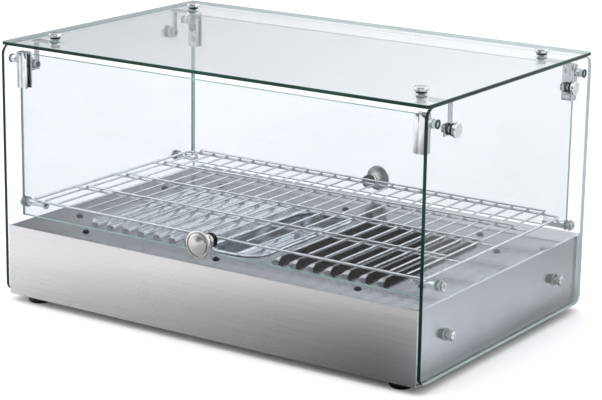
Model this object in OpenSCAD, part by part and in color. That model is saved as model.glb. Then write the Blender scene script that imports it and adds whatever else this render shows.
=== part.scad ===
// Countertop hot food display case: a heated steel base with a louvred deck and a water pan,
// under a cabinet of clear glass panels with a hinged glass door at the front and at the rear.
// X runs along the width, -Y is the front, +Z is up. The origin is on the surface that the
// feet stand on, under the middle of the whole object.

/* [Base] */
// Width of the steel base
base_w = 546; // [530:1:560]
// Height of the steel base without its feet
base_h = 82; // [80:1:88]
// How far the base reaches behind the glass
rear_step = 4; // [2:1:6]
// Thickness of the sheet steel
sheet = 1.2; // [1:0.1:1.4]
// Height of the feet
foot_h = 9; // [8:1:14]
// Radius of a foot
foot_r = 13; // [10:1:16]

/* [Glass] */
// Depth of the glass panels
glass_d = 358; // [350:1:366]
// Height from the underside of the base to the top of the glass
case_h = 295; // [285:1:330]
// Thickness of the glass panels
glass_t = 4; // [3.6:0.2:4.4]
// Gap between the base's ends and the side glass
glass_gap = 1.5; // [1.2:0.1:2]
// Corner radius of the side glass
glass_r = 11; // [6:1:16]

/* [Doors] */
// How far the doors hang inside the edges of the side glass
door_inset = 18; // [17:0.5:20]
// Height of the doors' lower edge over the deck
door_lift = 9.5; // [9:0.5:14]
// Gap between a door's ends and the side glass
door_gap = 8.5; // [8:0.5:10]
// Depth of the door pivots under the top of the glass
pivot_drop = 22; // [21:0.5:26]
// Radius of a pivot pin
pivot_r = 2.5; // [2:0.25:3]
// Radius of the door knobs
knob_r = 15.5; // [12:0.5:17]
// How far the knobs stand out from the door glass
knob_reach = 24; // [20:0.5:26]

/* [Shelf] */
// Spacing of the shelf's wires
wire_pitch = 20.2; // [18:0.1:20.5]
// Number of wires between the middle wire and the shelf's side
wire_half_count = 13; // [11:1:13]
// Distance between the front and the rear wire of the shelf
shelf_d = 300; // [280:1:302]
// Height of the shelf pins over the underside of the base
pin_z = 101.5; // [100:0.5:110]
// Distance from the middle of the cabinet to the shelf pins
pin_y = 143.5; // [130:0.5:144]

/* [Deck] */
// Number of louvres on each side
louvre_count = 7; // [5:1:7]
// Spacing of the louvres
louvre_pitch = 22.2; // [20:0.1:22.5]
// Length of a louvre
louvre_len = 202; // [180:1:210]
// Height of a louvre's mouth
louvre_rise = 7; // [5:0.5:8]
// Width of the water pan over its rim
pan_w = 76; // [70:1:80]
// Length of the water pan over its rim
pan_len = 212; // [190:1:216]
// Depth of the water pan under its rim
pan_depth = 22; // [14:1:26]

/* [Controls] */
// Radius of the thermostat dial
dial_r = 19; // [15:0.5:22]
// How far the dial stands out from the rear panel
dial_reach = 14; // [13:0.5:16]
// Radius of the bore for the mains lead
lead_r = 4; // [3.5:0.25:4.5]

/* [Hidden] */
$fn = 48;

// Heights are measured from the underside of the base, and depths from the middle of the glass.
front_y = -glass_d / 2;
rear_y = glass_d / 2 + rear_step;
end_x = base_w / 2;
glass_in = end_x + glass_gap;
glass_out = glass_in + glass_t;
deck_z = base_h;
deck_low = base_h - sheet;
top_low = case_h - glass_t;

door_y = glass_d / 2 - door_inset;
door_low = deck_z + door_lift;
door_high = case_h - 14;
door_x = glass_in - door_gap;
pivot_z = case_h - pivot_drop;
knob_z = door_low + knob_r - 1;
knob_tip = door_y + glass_t / 2 + knob_reach;
dial_tip = rear_y + dial_reach;
// The rear dial stands out further than the front knob, so the cabinet sits a little forward.
mid_y = (knob_tip - dial_tip) / 2;

// Hinge clamps
clamp_w = 14.5;
clamp_h = 41;
clamp_web = 1.5;
clamp_half = 5.7;
clamp_pad = 1;
clamp_screw_r = 2;
clamp_screw_inset = 7;
clamp_rise = 1;
spacer_l = 5.2;
spacer_r = 5;
bush_r = 4;

// Fastenings of the glass
bolt_y = 130;
bolt_z = case_h - 33;
button_x = 241;
bolt_r = 2.9;
button_r = 8;
clear_hole = 0.5;
end_screw_y = 121;
end_screw_z = 42.5;
bracket_t = 1.5;
bracket_w = 16;
bracket_strip = 8;

// Deck
hot_y = -21;
louvre_first = 64;
louvre_drop = 4;
louvre_r = louvre_rise + louvre_drop;
louvre_skin = 1;
pan_rim = 4;
pan_corner = 28;
rail_front = -150;
rail_rear = 110;
rail_screw_x = 183;
shield_x = 222;
shield_screw_x = 232;
shield_screw_y = [-102, 60];

// Heaters
heater_r = 4;
heater_mid = 125;
heater_bend = 38;
heater_z = 46;
heater_front = -95;
heater_rear = 126;
hanger_y = [-88, 50];
baffle_y = 118;

// Rear controls
control_z = 43;
dial_x = -160;
switch_x = -70;
lamp_x = -20;
gland_x = 205;
gland_z = 30;
shaft_r = 3;
running = 0.05;

// Wiring
wire_skin_r = 1.4;

// Shelf
frame_r = 1.5;
wire_r = 1.1;
cross_r = 1.2;
weld = 0.3;
pin_r = 3.5;
shelf_x = wire_pitch * wire_half_count;
shelf_bend = 7;
frame_z = pin_z + pin_r + 0.3 + frame_r;
wire_z = frame_z + frame_r + wire_r - weld;
low_cross_z = wire_z - wire_r - cross_r + weld;
top_cross_z = wire_z + wire_r + cross_r - weld;

// Points of an arc with centre c, from angle a to angle b in n steps
function arc(c, r, a, b, n) =
  [for (i = [0:n]) c + r * [cos(a + (b - a) * i / n), sin(a + (b - a) * i / n)]];

// Outline of a rectangle w by h with corners of radius r, centred on the origin
function round_rect(w, h, r, n = 6) = concat(
  arc([w / 2 - r, h / 2 - r], r, 0, 90, n), arc([r - w / 2, h / 2 - r], r, 90, 180, n),
  arc([r - w / 2, r - h / 2], r, 180, 270, n), arc([w / 2 - r, r - h / 2], r, 270, 360, n));

// Moves a piece from the cabinet's own zero to the object's origin
module in_case() {
  translate([0, mid_y, foot_h]) children();
}

// Repeats a piece at the four corners given by x and y
module at_corners(x, y) {
  for (sx = [-1, 1], sy = [-1, 1]) translate([sx * x, sy * y, 0]) children();
}

// A box between two opposite corners
module box(a, b) {
  translate(a) cube(b - a);
}

// Round bars along each axis
module bar_x(x0, x1, y, z, r) {
  translate([x0, y, z]) rotate([0, 90, 0]) cylinder(h = x1 - x0, r = r);
}

module bar_y(x, y0, y1, z, r) {
  translate([x, y0, z]) rotate([-90, 0, 0]) cylinder(h = y1 - y0, r = r);
}

module bar_z(x, y, z0, z1, r) {
  translate([x, y, z0]) cylinder(h = z1 - z0, r = r);
}

// Rings along X and along Z with a hole through them
module ring_x(x0, x1, y, z, r, hole) {
  difference() {
    bar_x(x0, x1, y, z, r);
    bar_x(x0 - 1, x1 + 1, y, z, hole);
  }
}

module ring_z(x, y, z0, z1, r, hole) {
  difference() {
    bar_z(x, y, z0, z1, r);
    bar_z(x, y, z0 - 1, z1 + 1, hole);
  }
}

// Stands a flat outline drawn in Y and Z up along X
module along_x(x0, length) {
  translate([x0, 0, 0]) rotate([90, 0, 90]) linear_extrude(length) children();
}

// Mirrors a right-hand or a front piece to the other side
module side(s) {
  mirror([s < 0 ? 1 : 0, 0, 0]) children();
}

module door_side(s) {
  mirror([0, s < 0 ? 1 : 0, 0]) children();
}

// Base: a folded tray with the front and the rear panel
module base_tray() {
  lip_z = deck_low - sheet;
  color("gainsboro") in_case() difference() {
    union() {
      box([-end_x, front_y, 0], [end_x, rear_y, sheet]);
      box([-end_x, front_y, 0], [end_x, front_y + sheet, base_h]);
      box([-end_x, rear_y - sheet, 0], [end_x, rear_y, base_h]);
      box([2 * sheet - end_x, front_y, lip_z], [end_x - 2 * sheet, front_y + 11, deck_low]);
      box([2 * sheet - end_x, rear_y - 11, lip_z], [end_x - 2 * sheet, rear_y, deck_low]);
    }
    at_feet() bar_z(0, 0, -1, sheet + 1, 2.1);
    bar_y(dial_x, rear_y - 5, rear_y + 5, control_z, shaft_r + 2);
    box([switch_x - 10.2, rear_y - 5, control_z - 14], [switch_x + 10.2, rear_y + 5, control_z + 14]);
    bar_y(lamp_x, rear_y - 5, rear_y + 5, control_z, 5);
    bar_y(gland_x, rear_y - 5, rear_y + 5, gland_z, 8);
  }
}

// Outline of a louvre's ends, with sloped corners
function louvre_side(inset) = let(
    y0 = hot_y - louvre_len / 2 + inset,
    y1 = hot_y + louvre_len / 2 - inset,
    low = deck_low - 1,
    shoulder = deck_z + louvre_rise / 2,
    high = deck_z + louvre_rise + 1
  ) [[y0, low], [y0, shoulder], [y0 + 6, high], [y1 - 6, high], [y1, shoulder], [y1, low]];

// Body of a louvre that opens towards +X, at radius r
module louvre_body(mouth, r, inset, past) {
  intersection() {
    bar_y(mouth, hot_y - louvre_len, hot_y + louvre_len, deck_z - louvre_drop, r);
    along_x(mouth - r, r + past) polygon(louvre_side(inset));
  }
}

// Base: the deck with its louvres, folded down into the two ends
module deck_cover() {
  color("silver") in_case() difference() {
    union() {
      box([-end_x, front_y + sheet + 0.2, deck_low], [end_x, rear_y - sheet - 0.2, deck_z]);
      for (s = [-1, 1]) side(s) {
        box([end_x - sheet, front_y + sheet + 0.2, sheet + 0.2],
            [end_x, rear_y - sheet - 0.2, deck_z]);
        box([end_x - 12, front_y + sheet + 2, sheet + 0.2],
            [end_x, rear_y - sheet - 2, 2 * sheet + 0.2]);
        for (i = [0:louvre_count - 1])
          intersection() {
            louvre_body(louvre_first + louvre_pitch * i, louvre_r, 0, 0);
            box([0, -glass_d, deck_low], [end_x, glass_d, deck_z + 20]);
          }
      }
    }
    for (s = [-1, 1]) side(s) for (i = [0:louvre_count - 1])
      louvre_body(louvre_first + louvre_pitch * i, louvre_r - louvre_skin, louvre_skin, 0.4);
    translate([0, hot_y, deck_low - 1]) linear_extrude(sheet + 2)
      polygon(round_rect(pan_w - 2 * pan_rim, pan_len - 2 * pan_rim, pan_corner - pan_rim));
    at_deck_screws() bar_z(0, 0, deck_low - 1, deck_z + 1, 2);
    for (s = [-1, 1], y = [-end_screw_y, end_screw_y]) side(s)
      bar_x(end_x - 5, end_x + 1, y, end_screw_z, 2.1);
  }
}

// Places of the deck's screws: three along each rail and two on each side of the shield
module at_deck_screws() {
  for (x = [-rail_screw_x, 0, rail_screw_x], y = [rail_front, rail_rear])
    translate([x, y, 0]) children();
  for (x = [-shield_screw_x, shield_screw_x], y = shield_screw_y)
    translate([x, y, 0]) children();
}

module at_feet() {
  at_y = glass_d / 2 - 17;
  for (x = [-245, 245], y = [rear_step / 2 - at_y, rear_step / 2 + at_y])
    translate([x, y, 0]) children();
}

// Angle strips under the deck that stiffen it and close the heated space
module deck_rails() {
  color("darkgray") in_case() for (y = [rail_front, rail_rear]) difference() {
    union() {
      box([-215, y - 7, deck_low - sheet], [215, y + 7, deck_low]);
      box([-215, y - 7, deck_low - 18], [215, y - 7 + sheet, deck_low]);
    }
    for (x = [-rail_screw_x, 0, rail_screw_x]) bar_z(x, y, deck_low - 3, deck_z, 2);
  }
}

// Tray of sheet steel that keeps the heat off the base, hung from the deck by its flanges
module heat_shield() {
  y0 = rail_front + 12;
  y1 = rail_rear - 12;
  color("lightgray") in_case() difference() {
    union() {
      box([-shield_x, y0, 16], [shield_x, y1, 16 + sheet]);
      for (s = [-1, 1]) side(s) {
        box([shield_x - sheet, y0, 16], [shield_x, y1, deck_low]);
        box([shield_x - sheet, y0, deck_low - sheet], [shield_x + 20, y1, deck_low]);
      }
    }
    for (s = [-1, 1], y = shield_screw_y) side(s)
      bar_z(shield_screw_x, y, deck_low - 3, deck_z, 2);
  }
}

// Hairpin of sheathed heating tube, with its terminal pins at the rear
module heater() {
  for (s = [-1, 1]) {
    bar_y(heater_mid + s * heater_bend, heater_front, heater_rear, heater_z, heater_r);
    bar_y(heater_mid + s * heater_bend, heater_rear, heater_rear + 9, heater_z, 1.5);
  }
  translate([heater_mid, heater_front, heater_z]) rotate([0, 0, 180])
    rotate_extrude(angle = 180) translate([heater_bend, 0]) circle(r = heater_r);
}

module heater_left() {
  color("dimgray") in_case() side(-1) heater();
}

module heater_right() {
  color("dimgray") in_case() heater();
}

// Slotted plates that hang the heating tubes from the deck
module heater_hangers() {
  reach = heater_bend + 11;
  color("silver") in_case() for (s = [-1, 1], y = hanger_y) side(s) difference() {
    union() {
      box([heater_mid - reach, y, heater_z - 9], [heater_mid + reach, y + sheet, deck_low - 4]);
      for (x = [heater_mid - reach, heater_mid + reach - 8])
        box([x, y, deck_low - 5], [x + 8, y + sheet, deck_low]);
    }
    for (x = [heater_mid - heater_bend, heater_mid + heater_bend])
      bar_y(x, y - 1, y + 3, heater_z, heater_r + 0.1);
    for (x = [-18, 6])
      box([heater_mid + x, y - 1, heater_z - 4], [heater_mid + x + 12, y + 3, heater_z + 16]);
  }
}

// Upright sheet between the heated space and the controls
module control_baffle() {
  color("lightgray") in_case() difference() {
    box([-shield_x, baffle_y, sheet], [shield_x, baffle_y + sheet, deck_low]);
    for (s = [-1, 1], k = [-1, 1])
      bar_y(s * heater_mid + k * heater_bend, baffle_y - 1, baffle_y + 3, heater_z, 5);
  }
}

// Thermostat: a drum on the inside of the rear panel with a bush for its shaft
module thermostat_body() {
  face = rear_y - sheet;
  color("ivory") in_case() difference() {
    union() {
      bar_y(dial_x, face - 22, face - 1, control_z, 20);
      box([dial_x - 16, face - 1, control_z - 5], [dial_x + 16, face, control_z + 5]);
      for (x = [-9, 5])
        box([dial_x + x, face - 30, control_z - 1], [dial_x + x + 4, face - 22, control_z + 1]);
    }
    bar_y(dial_x, face - 14, face + 1, control_z, shaft_r + running);
  }
}

// Over-temperature cut-out on the baffle
module thermal_cutout() {
  y0 = baffle_y + sheet;
  color("black") in_case() union() {
    box([heater_mid - 12, y0, 44], [heater_mid + 12, y0 + 1, 56]);
    bar_y(heater_mid, y0 + 1, y0 + 9, 50, 8);
    for (x = [-5.5, 2.5]) box([heater_mid + x, y0 + 9, 49.5], [heater_mid + x + 3, y0 + 15, 50.5]);
  }
}

// Rocker switch: the snapped-in housing, hollow for the rocker
module switch_housing() {
  color("black") in_case() difference() {
    union() {
      box([switch_x - 12.5, rear_y, control_z - 16], [switch_x + 12.5, rear_y + 2, control_z + 16]);
      box([switch_x - 10, rear_y - 24, control_z - 13.8], [switch_x + 10, rear_y, control_z + 13.8]);
      for (z = [-8, 0, 8])
        box(
          [switch_x - 3, rear_y - 32, control_z + z - 0.4],
          [switch_x + 3, rear_y - 24, control_z + z + 0.4]
        );
    }
    box([switch_x - 8.5, rear_y - 10, control_z - 13], [switch_x + 8.5, rear_y + 3, control_z + 13]);
    bar_x(switch_x - 9.5, switch_x + 9.5, rear_y - 1, control_z, 1.5 + running);
  }
}

// The rocker, drawn in its off position with its lower half pressed in
module rocker() {
  color("darkgreen") in_case() translate([switch_x, rear_y - 1, control_z]) rotate([-7, 0, 0]) union() {
    along_x(-8, 16) polygon([[-4, -11.5], [3.2, -12], [1.4, 0], [3.2, 12], [-4, 11.5]]);
    bar_x(-9.3, 9.3, 0, 0, 1.5);
  }
}

// Pilot lamp: a snap-in barrel and its domed lens
module pilot_lamp_body() {
  color("dimgray") in_case() difference() {
    union() {
      bar_y(lamp_x, rear_y - 18, rear_y, control_z, 4.9);
      bar_y(lamp_x, rear_y, rear_y + 1.5, control_z, 7);
      for (x = [-2.4, 1.6])
        box(
          [lamp_x + x, rear_y - 25, control_z - 1.5],
          [lamp_x + x + 0.8, rear_y - 18, control_z + 1.5]
        );
    }
    bar_y(lamp_x, rear_y - 10, rear_y + 3, control_z, 4.2);
  }
}

module pilot_lamp_lens() {
  color("orange") in_case() union() {
    bar_y(lamp_x, rear_y - 10, rear_y + 2, control_z, 4.1);
    intersection() {
      translate([lamp_x, rear_y - 0.5, control_z]) sphere(r = 5);
      bar_y(lamp_x, rear_y + 1.8, rear_y + 8, control_z, 4.1);
    }
  }
}

// Ceramic block where the mains lead joins the wiring
module terminal_block() {
  color("white") in_case() difference() {
    box([140, 140, sheet], [182, 160, sheet + 17]);
    for (x = [147, 161, 175]) {
      bar_z(x, 150, sheet + 8, sheet + 20, 2.4);
      bar_y(x, 135, 165, sheet + 6, 2);
    }
  }
}

// Screwed gland for the mains lead, and its nut inside the rear panel
module cord_gland() {
  color("black") in_case() difference() {
    union() {
      bar_y(gland_x, rear_y - 11, rear_y, gland_z, 7.9);
      translate([gland_x, rear_y, gland_z]) rotate([-90, 0, 0]) cylinder(h = 5, r = 11, $fn = 6);
      bar_y(gland_x, rear_y + 5, rear_y + 12, gland_z, 8);
    }
    bar_y(gland_x, rear_y - 12, rear_y + 13, gland_z, lead_r);
  }
}

module gland_nut() {
  y1 = rear_y - sheet;
  color("dimgray") in_case() difference() {
    translate([gland_x, y1 - 4, gland_z]) rotate([-90, 0, 0]) cylinder(h = 4, r = 12, $fn = 6);
    bar_y(gland_x, y1 - 5, y1 + 1, gland_z, 7.95);
  }
}

// One insulated wire through a list of points
module wire(points) {
  for (i = [0:len(points) - 2]) {
    d = points[i + 1] - points[i];
    n = norm(d);
    translate(points[i] - d / n) rotate([0, acos(d[2] / n), atan2(d[1], d[0])])
      cylinder(h = n + 2, r = wire_skin_r, $fn = 8);
  }
}

// Wires between the terminal block, the controls, the cut-out and the heaters
module wiring_loom() {
  lug = 150;
  pin = heater_rear + 10;
  inner = heater_mid - heater_bend;
  outer = heater_mid + heater_bend;
  t = [dial_x - 7, dial_x + 7, control_z];
  color("firebrick") in_case() {
    // from the terminal block to the switch
    wire([[161, 146, 7.2], [161, 132, 7.2], [switch_x, 132, 7.2], [switch_x, 146, 7.2],
          [switch_x, 146, 35], [switch_x, lug, 35]]);
    // from the switch to the thermostat
    wire([[switch_x, lug, 51], [switch_x, 146, 51], [switch_x, 146, 60], [t[1], 146, 60],
          [t[1], 146, t[2]], [t[1], lug + 0.8, t[2]]]);
    // from the thermostat to the left heater
    wire([[t[0], lug + 0.8, t[2]], [t[0], 146, t[2]], [t[0], 146, 70], [-inner, 146, 70],
          [-inner, 146, heater_z], [-inner, pin, heater_z]]);
    // between the two heaters
    wire([[-outer, pin, heater_z], [-outer, 140, heater_z], [-outer, 140, 26], [outer, 140, 26],
          [outer, 140, heater_z], [outer, pin, heater_z]]);
    // from the right heater through the cut-out back to the terminal block
    wire([[inner, pin, heater_z], [inner, 140, heater_z], [inner, 140, 50], [heater_mid - 4, 140, 50],
          [heater_mid - 4, baffle_y + 17.2, 50]]);
    wire([[heater_mid + 4, baffle_y + 17.2, 50], [heater_mid + 4, 140, 50], [heater_mid + 4, 140, 66],
          [190, 134, 66], [190, 134, 7.2], [175, 134, 7.2], [175, 146, 7.2]]);
    // from the switch to the pilot lamp
    wire([[lamp_x - 2, rear_y - 26, control_z], [lamp_x - 2, 147, control_z], [switch_x, 147, control_z],
          [switch_x, lug, control_z]]);
  }
}

// Low round feet and the screws that hold them
module feet() {
  color("dimgray") in_case() at_feet() difference() {
    translate([0, 0, -foot_h]) rotate_extrude()
      polygon([
        [0, 0], [foot_r - 3, 0], [foot_r, 3],
        [foot_r, foot_h - 1.5], [foot_r - 1.5, foot_h], [0, foot_h]
      ]);
    bar_z(0, 0, -foot_h - 1, 3 - foot_h, 4.5);
    bar_z(0, 0, -foot_h, 1, 2.1);
  }
}

module foot_screws() {
  color("silver") in_case() at_feet() union() {
    bar_z(0, 0, 0.6 - foot_h, 2.9 - foot_h, 4);
    bar_z(0, 0, 2.5 - foot_h, 6, 2);
    bar_z(0, 0, sheet, sheet + 3, 4);
  }
}

module deck_screws() {
  color("dimgray") in_case() at_deck_screws() union() {
    translate([0, 0, deck_z]) rotate_extrude()
      polygon([[0, 0], [4.2, 0], [4.2, 1], [3.4, 1.9], [2, 2.4], [0, 2.4]]);
    bar_z(0, 0, deck_low - 7, deck_z + 1, 1.9);
  }
}

// Screws that hold the side glass to the base, with rubber rings on both faces of the glass
module end_screws() {
  color("silver") in_case() for (s = [-1, 1], y = [-end_screw_y, end_screw_y]) side(s) union() {
    bar_x(end_x - 8, glass_out + 3.5, y, end_screw_z, 2);
    bar_x(glass_out + 3, glass_out + 5.5, y, end_screw_z, 5);
  }
}

module end_washers() {
  color("whitesmoke") in_case() for (s = [-1, 1], y = [-end_screw_y, end_screw_y]) side(s) {
    ring_x(end_x, glass_in, y, end_screw_z, 7, 2.1);
    ring_x(glass_out, glass_out + 3, y, end_screw_z, 5.8, 2.1);
  }
}

// Side glass: one panel with rounded corners and eight drilled holes
module side_glass() {
  low = 1.5;
  high = top_low - 0.4;
  difference() {
    along_x(glass_in, glass_t) translate([0, (low + high) / 2])
      polygon(round_rect(glass_d, high - low, glass_r, 10));
    for (s = [-1, 1]) {
      bar_x(glass_in - 1, glass_out + 1, s * bolt_y, bolt_z, bolt_r + clear_hole);
      bar_x(glass_in - 1, glass_out + 1, s * door_y, pivot_z, 4.05);
      bar_x(glass_in - 1, glass_out + 1, s * pin_y, pin_z, 2.5);
      bar_x(glass_in - 1, glass_out + 1, s * end_screw_y, end_screw_z, 2.5);
    }
  }
}

module side_glass_left() {
  color("lightcyan", 0.35) in_case() side(-1) side_glass();
}

module side_glass_right() {
  color("lightcyan", 0.35) in_case() side_glass();
}

module top_glass() {
  color("lightcyan", 0.35) in_case() difference() {
    translate([0, 0, top_low]) linear_extrude(glass_t)
      polygon(round_rect(2 * glass_out, glass_d, 3));
    at_corners(button_x, bolt_y) bar_z(0, 0, top_low - 1, case_h + 1, bolt_r + clear_hole);
  }
}

// Corner bracket: a plate bolted to the side glass, a strip up to the top glass and a leg along it
module corner_brackets() {
  plate_x = glass_in - 1;
  leg_z = top_low - 1;
  for (s = [-1, 1]) difference() {
    union() {
      box([plate_x - bracket_t, s * bolt_y - bracket_w / 2, bolt_z - 7],
          [plate_x, s * bolt_y + bracket_w / 2, bolt_z + 7]);
      box([plate_x - bracket_t, s * bolt_y, bolt_z - 7],
          [plate_x, s * bolt_y + bracket_strip, leg_z]);
      box([button_x - 7, s * bolt_y - bracket_strip / 2, leg_z - bracket_t],
          [plate_x, s * bolt_y + bracket_strip, leg_z]);
    }
    bar_x(plate_x - 5, plate_x + 1, s * bolt_y, bolt_z, bolt_r + 0.2);
    bar_z(button_x, s * bolt_y, leg_z - 3, leg_z + 1, bolt_r + 0.2);
  }
}

module corner_brackets_left() {
  color("silver") in_case() side(-1) corner_brackets();
}

module corner_brackets_right() {
  color("silver") in_case() corner_brackets();
}

// Profile of a button head that stands on its washer
module button_head() {
  rotate_extrude()
    polygon([
      [0, 0], [5.5, 0], [button_r - 0.6, 1.4], [button_r, 2],
      [button_r, 5], [button_r - 0.5, 5.5], [0, 5.5]
    ]);
}

module top_buttons() {
  color("silver") in_case() at_corners(button_x, bolt_y) union() {
    translate([0, 0, case_h + 1]) button_head();
    bar_z(0, 0, top_low - 9, case_h + 2, bolt_r);
  }
}

module top_washers() {
  color("black") in_case() at_corners(button_x, bolt_y) {
    ring_z(0, 0, case_h, case_h + 1, 6, bolt_r + 0.1);
    ring_z(0, 0, top_low - 1, top_low, 6, bolt_r + 0.1);
  }
}

module top_nuts() {
  leg_low = top_low - 1 - bracket_t;
  color("silver") in_case() at_corners(button_x, bolt_y) difference() {
    translate([0, 0, leg_low - 4]) cylinder(h = 4, r = 5.2, $fn = 6);
    bar_z(0, 0, leg_low - 5, leg_low + 1, bolt_r + 0.05);
  }
}

module side_buttons() {
  color("silver") in_case() for (s = [-1, 1], y = [-bolt_y, bolt_y]) side(s) union() {
    translate([glass_out + 1.5, y, bolt_z]) rotate([0, 90, 0]) button_head();
    bar_x(glass_in - 10, glass_out + 2.5, y, bolt_z, bolt_r);
  }
}

module side_washers() {
  color("black") in_case() for (s = [-1, 1], y = [-bolt_y, bolt_y]) side(s) {
    ring_x(glass_out, glass_out + 1.5, y, bolt_z, 7, bolt_r + 0.1);
    ring_x(glass_in - 1, glass_in, y, bolt_z, 6, bolt_r + 0.1);
  }
}

module side_nuts() {
  plate_in = glass_in - 1 - bracket_t;
  color("silver") in_case() for (s = [-1, 1], y = [-bolt_y, bolt_y]) side(s) difference() {
    translate([plate_in - 4.5, y, bolt_z]) rotate([0, 90, 0]) cylinder(h = 4.5, r = 5.2, $fn = 6);
    bar_x(plate_in - 6, plate_in + 1, y, bolt_z, bolt_r + 0.05);
  }
}

// Nylon bushes in the side glass that carry the doors' pivot pins
module pivot_bushes() {
  color("black") in_case() for (s = [-1, 1], y = [-door_y, door_y]) side(s) difference() {
    union() {
      bar_x(glass_in - spacer_l, glass_out + 1, y, pivot_z, bush_r);
      bar_x(glass_out, glass_out + 1.2, y, pivot_z, spacer_r);
    }
    bar_x(glass_in - 8, glass_out + 3, y, pivot_z, pivot_r + running);
  }
}

// Rings on the bushes that keep the clamps off the side glass
module pivot_spacers() {
  color("silver") in_case() for (s = [-1, 1], y = [-door_y, door_y]) side(s)
    ring_x(glass_in - spacer_l, glass_in, y, pivot_z, spacer_r, bush_r);
}

// Studs that the shelf rests on, screwed on through the side glass
module shelf_pins() {
  color("silver") in_case() for (s = [-1, 1], y = [-pin_y, pin_y]) side(s) difference() {
    union() {
      bar_x(glass_in - 27, glass_in - 1, y, pin_z, pin_r);
      bar_x(glass_in - 28.5, glass_in - 25.5, y, pin_z, pin_r + 1.2);
      bar_x(glass_in - 3, glass_in - 1, y, pin_z, pin_r + 1.2);
    }
    bar_x(glass_in - 15, glass_in, y, pin_z, 2.05);
  }
}

module shelf_pin_screws() {
  color("silver") in_case() for (s = [-1, 1], y = [-pin_y, pin_y]) side(s) difference() {
    union() {
      bar_x(glass_in - 14, glass_out + 2.5, y, pin_z, 2);
      bar_x(glass_out + 1.5, glass_out + 4, y, pin_z, 5);
    }
    box([glass_out + 3, y - 3, pin_z - 0.5], [glass_out + 5, y + 3, pin_z + 0.5]);
    box([glass_out + 3, y - 0.5, pin_z - 3], [glass_out + 5, y + 0.5, pin_z + 3]);
  }
}

module shelf_pin_washers() {
  color("whitesmoke") in_case() for (s = [-1, 1], y = [-pin_y, pin_y]) side(s) {
    ring_x(glass_out, glass_out + 1.5, y, pin_z, 6.2, 2.1);
    ring_x(glass_in - 1, glass_in, y, pin_z, 6.2, 2.1);
  }
}

// Doors. Each piece is drawn for the rear door, and door_side(-1) mirrors it to the front.
function clamp_top() = door_high + clamp_rise;

// Outer face of a clamp's web, beyond the door's end
function clamp_out() = door_x + clamp_rise + clamp_web;

function clamp_screw_x() = clamp_out() - clamp_w / 2 - 0.8;

function clamp_screw_z() = [
  clamp_top() - clamp_screw_inset,
  clamp_top() - clamp_h + clamp_screw_inset + 2
];

module door_glass() {
  difference() {
    box([-door_x, door_y - glass_t / 2, door_low], [door_x, door_y + glass_t / 2, door_high]);
    bar_y(0, door_y - 5, door_y + 5, knob_z, 3);
    for (s = [-1, 1], z = clamp_screw_z())
      bar_y(s * clamp_screw_x(), door_y - 5, door_y + 5, z, clamp_screw_r + 0.6);
  }
}

// U-section clamps over the glass's upper corners, drilled for their screws and the pivot pin
module hinge_clamps() {
  x1 = clamp_out();
  screw_x = clamp_screw_x();
  for (s = [-1, 1]) side(s) difference() {
    translate([x1 - clamp_w / 2, door_y, clamp_top() - clamp_h]) linear_extrude(clamp_h)
      polygon(round_rect(clamp_w, 2 * clamp_half, 1.6, 4));
    box([x1 - clamp_w - 1, door_y - glass_t / 2 - clamp_pad, door_high - clamp_h],
        [x1 - clamp_web, door_y + glass_t / 2 + clamp_pad, door_high + 2]);
    box([screw_x - 0.5, door_y + clamp_half - 0.5, door_high - clamp_h],
        [screw_x + 0.5, door_y + clamp_half + 1, door_high + 2]);
    for (z = clamp_screw_z())
      bar_y(screw_x, door_y - clamp_half - 1, door_y + clamp_half - 1, z, clamp_screw_r + running);
    bar_x(x1 - clamp_web - 1, x1 + 1, door_y, pivot_z, pivot_r + 0.02);
  }
}

module clamp_pads() {
  x1 = clamp_out();
  screw_x = clamp_screw_x();
  for (s = [-1, 1], k = [-1, 1]) side(s) difference() {
    translate([x1 - clamp_w + 0.4, door_y, clamp_top() - clamp_h + 0.3])
      translate([0, k * (glass_t + clamp_pad) / 2 - clamp_pad / 2, 0])
        cube([clamp_w - clamp_web - 1, clamp_pad, clamp_h - 1.4]);
    for (z = clamp_screw_z()) bar_y(screw_x, door_y - 6, door_y + 6, z, clamp_screw_r + 0.1);
  }
}

module clamp_screws() {
  screw_x = clamp_screw_x();
  for (s = [-1, 1], z = clamp_screw_z()) side(s) difference() {
    union() {
      bar_y(screw_x, door_y - clamp_half - 1, door_y + clamp_half - 1.2, z, clamp_screw_r);
      bar_y(screw_x, door_y - clamp_half - 1.8, door_y - clamp_half, z, 3);
    }
    box([screw_x - 2, door_y - clamp_half - 3, z - 0.4], [screw_x + 2, door_y - clamp_half - 1, z + 0.4]);
  }
}

module pivot_pins() {
  for (s = [-1, 1]) side(s) union() {
    bar_x(door_x + 0.5, glass_out + 0.8, door_y, pivot_z, pivot_r);
    bar_x(door_x + 0.5, door_x + 1, door_y, pivot_z, pivot_r + 0.4);
  }
}

// Turned door knob: a stepped neck, a disc with a rim, and a shallow cone on its face
module knob() {
  base = glass_t / 2 + 1;
  rim = knob_reach + glass_t / 2 - 6.5;
  tip = knob_reach + glass_t / 2;
  translate([0, door_y, knob_z]) rotate([-90, 0, 0]) difference() {
    rotate_extrude() polygon([
      [0, base], [7.2, base], [7.8, base + 1], [7.8, base + 3.5], [6.4, base + 4.5], [6.4, base + 5.5],
      [7.2, base + 6.2], [7.2, base + 8], [5.4, base + 9], [5.4, rim - 3], [9, rim - 1], [knob_r - 1, rim],
      [knob_r, rim + 0.8], [knob_r, rim + 2.6], [knob_r - 0.8, rim + 3.4], [knob_r - 2.4, rim + 3.6],
      [knob_r - 2.8, rim + 3], [knob_r - 3.4, rim + 3.8], [0, tip]
    ]);
    translate([0, 0, base - 1]) cylinder(h = 13, r = 2.5 + running);
  }
}

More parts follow.
